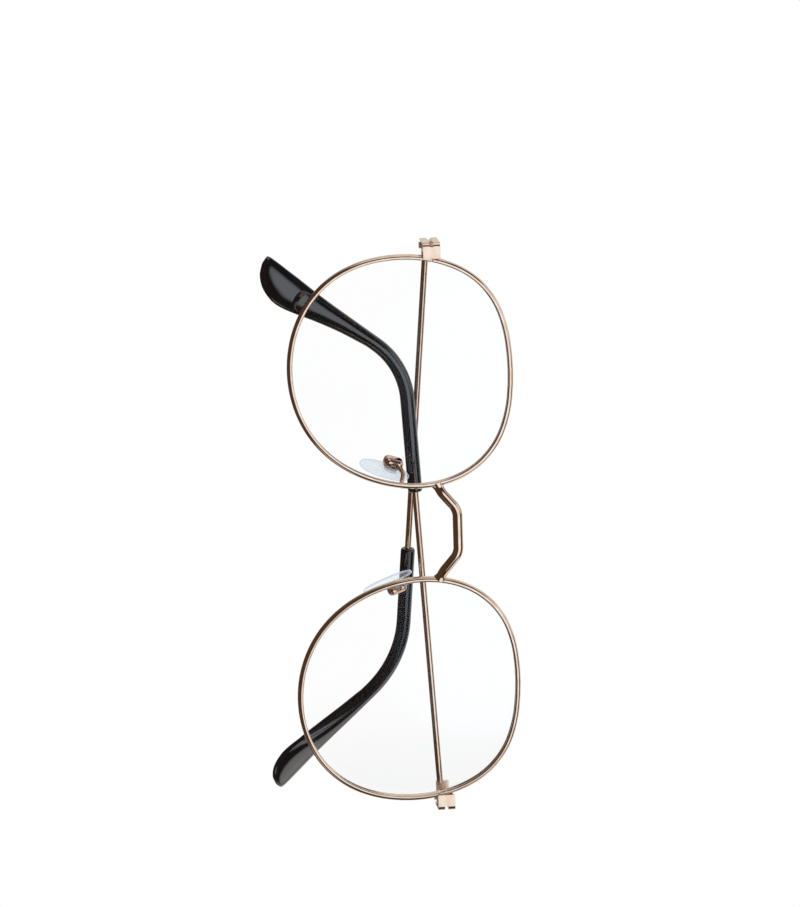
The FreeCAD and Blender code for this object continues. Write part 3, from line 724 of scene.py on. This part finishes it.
temple = {
    "pin": (62.624, -0.3, 11.067),
    "leafOffset": 1.4,
    "leafLength": 3.2,
    "wireBelow": 0.35,
    "wireRadius": 0.7,
    "wireInLeaf": 0.4,
    "wireSegments": 40,
    "bendDistance": 98.2,
    "coreShort": 12,
    "sleeveLength": 66.6,
    "sleeveRadius": 1.6,
    "sleeveSegments": 64,
    "sleeveStep": 3,  # degrees of its bend
    "paddleWidth": 7.7,
    "paddleThickness": 2.6,
    "paddleBelly": 1.2,
    "twistedShare": 0.6,
    # rings along the end leg: this many to its length, and then at these shares, where it closes
    "rings": 50,
    "endRings": (0.935, 0.95, 0.965, 0.975, 0.985, 0.993, 1.0, 1.002, 1.004),
    # share of the end leg, and there the swell of the paddle, its shift and how far its end has closed
    "swell": ((0, 0), (0.22, 0.19), (0.42, 0.46), (0.59, 0.78), (0.7, 0.96), (0.79, 1), (0.9, 0.93),
              (0.97, 0.79), (1, 0.79)),
    "shift": ((0, 0), (0.22, 0.31), (0.42, 0.75), (0.59, 1.17), (0.7, 1.33), (0.79, 1.25), (0.9, 0.65),
              (0.97, -0.19), (1, -0.96)),
    "closing": ((0, 1), (0.7, 1), (0.79, 0.98), (0.9, 0.87), (0.97, 0.66), (1.0, 0.34)),
    "rounding": ((1.002, 0.28), (1.004, 0.18)),
    # distance past the sleeve's mouth and radius there
    "mouth": ((0.5, 0.75), (0.08, 0.78), (0, 0.9), (-0.02, 1.1), (0.05, 1.34), (0.2, 1.48), (0.42, 1.57),
              (0.7, 1.6)),
}
# how each temple was bent, and how it lies folded
bends = {
    "left": {"drop": 3, "angle": 49.5, "radius": 17, "sleeveStart": 69.4, "twist": 4, "slant": 1.9},
    "right": {"drop": 3.95, "angle": 42, "radius": 25, "sleeveStart": 71.3, "twist": 27.5, "slant": 7.4},
}


def templeCourse(bend):
    # start and heading of the wire, the corner of its bend, and the heading and length past it
    drop = math.radians(bend["drop"])
    steep = drop + math.radians(bend["angle"])
    along = Vector((-math.cos(drop), 0, -math.sin(drop)))
    down = Vector((-math.cos(steep), 0, -math.sin(steep)))
    origin = Vector((0, temple["leafOffset"], -temple["wireBelow"]))
    halfTurn = math.radians(bend["angle"]) / 2
    straight = temple["bendDistance"] - bend["sleeveStart"]
    leg = temple["sleeveLength"] - straight + 2 * bend["radius"] * (math.tan(halfTurn) - halfTurn)
    return origin, along, origin + along * temple["bendDistance"], down, leg


def wireMesh(bend):
    bm = bmesh.new()
    origin, along, corner, down, leg = templeCourse(bend)
    first = origin + along * (temple["leafLength"] - temple["wireInLeaf"])
    run = roundedRun([first, corner, corner + down * (leg - temple["coreShort"])], bend["radius"])
    radius = temple["wireRadius"]
    swept(bm, circle(bm, temple["wireSegments"]), [station(spot, heading, backward, radius, radius)
                                                   for spot, heading in run])
    return bm


def sleeveMesh(bend):
    bm = bmesh.new()
    origin, along, corner, down, leg = templeCourse(bend)
    radius = temple["sleeveRadius"]
    mouth = origin + along * bend["sleeveStart"]
    neck = bend["radius"] * math.tan(math.radians(bend["angle"]) / 2) + radius
    run = roundedRun([mouth, corner, corner + down * neck], bend["radius"], temple["sleeveStep"])
    stations = [station(mouth + along * far, along, backward, wide, wide) for far, wide in temple["mouth"]]
    stations += [station(spot, heading, backward, radius, radius) for spot, heading in run[1:]]
    across = Vector((-down.z, 0, down.x))
    closings = temple["closing"] + temple["rounding"]
    rings, endRings = temple["rings"], temple["endRings"]
    places = [i / rings for i in range(1, rings) if i / rings < endRings[0]] + list(endRings)
    for place in places:
        swell = flowing(temple["swell"], place)
        shift = flowing(temple["shift"], place)
        closing = flowing(closings, place)
        width = (radius + (temple["paddleWidth"] / 2 - radius) * swell) * closing
        thickness = (radius + (temple["paddleThickness"] / 2 - radius) * swell) * closing
        twist = Matrix.Rotation(math.radians(bend["twist"]) * min(place / temple["twistedShare"], 1), 3, down)
        shifted = twist @ across * (temple["paddleBelly"] * shift)
        spot = corner + down * (neck + (leg - neck) * place) + shifted
        stations.append(station(spot, down, twist @ backward, width, thickness))
    swept(bm, circle(bm, temple["sleeveSegments"]), stations)
    return bm


for side, right in sides:
    bend = bends[side]
    pinPlace = Matrix.Translation(temple["pin"]) @ Matrix.Rotation(math.radians(-bend["slant"]), 4, "Z")
    bm = wireMesh(bend)
    placed(bm, pinPlace, right)
    madePiece(bm, "side_wire_" + side, "temple_wire_" + side, "frame_metal", drawnGold, 50)
    bm = sleeveMesh(bend)
    placed(bm, pinPlace, right)
    madePiece(bm, "ear_sleeve_" + side, "temple_tip_" + side, "temple_tips", sharp=50)
print("temples made")


# Studio: white all round for the camera, a dark room with bright panels for gloss, lamps and a pale floor

studio = {
    "ambient": 0.5,
    "roomFront": colour(0.045, 0.033, 0.028),
    "roomBack": colour(0.72, 0.70, 0.68),
    "roomBelow": colour(0.075, 0.045, 0.028),
    # depth where its back takes over from its front, and height where it takes over from below
    "backRange": (-0.25, 0.6),
    "aboveRange": (-0.6, 0.1),
    # direction of a panel's middle, its spread from full to none in degrees, and its light
    "panels": (
        ((0.12, -0.90, 0.42), (20, 30), colour(1.0, 1.05, 1.12)),
        ((-0.25, -0.30, 0.92), (12, 22), colour(0.9, 0.95, 1.0)),
        ((-0.9, -0.35, 0.1), (14, 26), colour(0.9, 0.88, 0.85)),
        ((0.75, -0.45, -0.45), (6, 14), colour(0.70, 0.62, 0.55)),
        ((0.85, -0.1, 0.5), (12, 24), colour(1.0, 0.96, 0.92)),
    ),
    "floorLevel": -29.8,
    "floorRadius": 480,
    "floorColour": colour(0.86, 0.86, 0.86),
    # shares of the floor's radius where it starts to fade and is gone
    "floorFade": (0.25, 0.95),
    # place in mm, size in mm, watts
    "lamps": (
        ((-120, -420, 620), 480, 3.4),
        ((-560, -420, -40), 400, 1.6),
        ((520, 240, 420), 420, 1.8),
    ),
}

air = Finish(bpy.data.worlds.new("studio_air"))
path = {name: air.node("LightPath", None, None, name)
        for name in ("Is Camera Ray", "Is Glossy Ray", "Is Transmission Ray")}
direction = air.node("TexCoord", None, None, "Generated")
depth = air.node("SeparateXYZ", None, {0: direction}, 1)
height = air.node("SeparateXYZ", None, {0: direction}, 2)
room = air.mixed(air.limited(depth, *studio["backRange"]), studio["roomFront"], studio["roomBack"])
room = air.mixed(air.limited(height, *studio["aboveRange"]), studio["roomBelow"], room)
for middle, (full, none), light in studio["panels"]:
    aim = Vector(middle).normalized()
    near = air.node("VectorMath", {"operation": "DOT_PRODUCT"}, {0: direction, 1: aim}, "Value")
    spread = air.limited(near, math.cos(math.radians(none)), math.cos(math.radians(full)))
    room = air.mixed(spread, room, light)
white = air.node("Background", None, {"Color": colour(1, 1, 1), "Strength": 1.0})
mirrored = air.node("Background", None, {"Color": room, "Strength": 1.0})
dim = air.node("Background", None, {"Color": colour(1, 1, 1), "Strength": studio["ambient"]})
lit = air.layered(path["Is Glossy Ray"], dim, mirrored)
scene.world = air.shown(air.layered(path["Is Camera Ray"] + path["Is Transmission Ray"], lit, white), "World")
# gloss sees another room than the one that lights dull surfaces, so the world isn't sampled as a lamp
scene.world.cycles.sampling_method = "NONE"

floorFinish = Finish(bpy.data.materials.new("pale_floor"))
fromBelow = floorFinish.node("NewGeometry", None, None, "Backfacing")
reach = floorFinish.node("VectorMath", {"operation": "LENGTH"}, {0: floorFinish.place()}, "Value")
fadeRange = [studio["floorRadius"] * share * millimetre for share in studio["floorFade"]]
fade = floorFinish.limited(reach, *fadeRange)
paint = floorFinish.node("BsdfDiffuse", None, {"Color": studio["floorColour"]})
noPaint = floorFinish.node("BsdfTransparent", None, {"Color": colour(1, 1, 1)})
floorFinish.shown(floorFinish.layered(floorFinish.sum("MAXIMUM", fromBelow, fade), paint, noPaint))

bm = bmesh.new()
bmesh.ops.create_circle(bm, cap_ends=True, radius=studio["floorRadius"] * millimetre, segments=96)
bmesh.ops.translate(bm, vec=(0, 0, studio["floorLevel"] * millimetre), verts=bm.verts)
floorMesh = bpy.data.meshes.new("floor")
bm.to_mesh(floorMesh)
bm.free()
floorMesh.materials.append(floorFinish.owner)
floor = bpy.data.objects.new("floor", floorMesh)
scene.collection.objects.link(floor)
floor.visible_glossy = False

for i, (place, wide, watts) in enumerate(studio["lamps"]):
    lamp = bpy.data.lights.new("softbox_%d" % i, "AREA")
    lamp.shape = "SQUARE"
    lamp.size = wide * millimetre
    lamp.energy = watts
    stand = bpy.data.objects.new(lamp.name, lamp)
    stand.location = Vector(place) * millimetre
    stand.rotation_euler = (-Vector(place)).to_track_quat("-Z", "Y").to_euler()
    stand.visible_glossy = False
    scene.collection.objects.link(stand)


# Camera in front and a little below, turned so that the glasses stand on end as in the photo: its place
# in mm, the picture's right and up, the direction that it looks in, and its focal length in mm

view = {
    "place": (-256.729, -1121.882, -112.639),
    "right": (0.028511, -0.109047, 0.993628),
    "up": (-0.977583, 0.204410, 0.050484),
    "forward": (0.208612, 0.972793, 0.100775),
    "lens": 207.365,
}
camera = bpy.data.cameras.new("front_camera")
camera.sensor_width = 36
camera.lens = view["lens"]
camera.clip_start = 0.05
camera.clip_end = 20
cameraStand = bpy.data.objects.new("front_camera", camera)
turn = Matrix((view["right"], view["up"], -Vector(view["forward"]))).transposed().to_4x4()
cameraStand.matrix_world = Matrix.Translation(Vector(view["place"]) * millimetre) @ turn
scene.collection.objects.link(cameraStand)
scene.camera = cameraStand
scene.view_settings.view_transform = "Standard"
print("studio made")
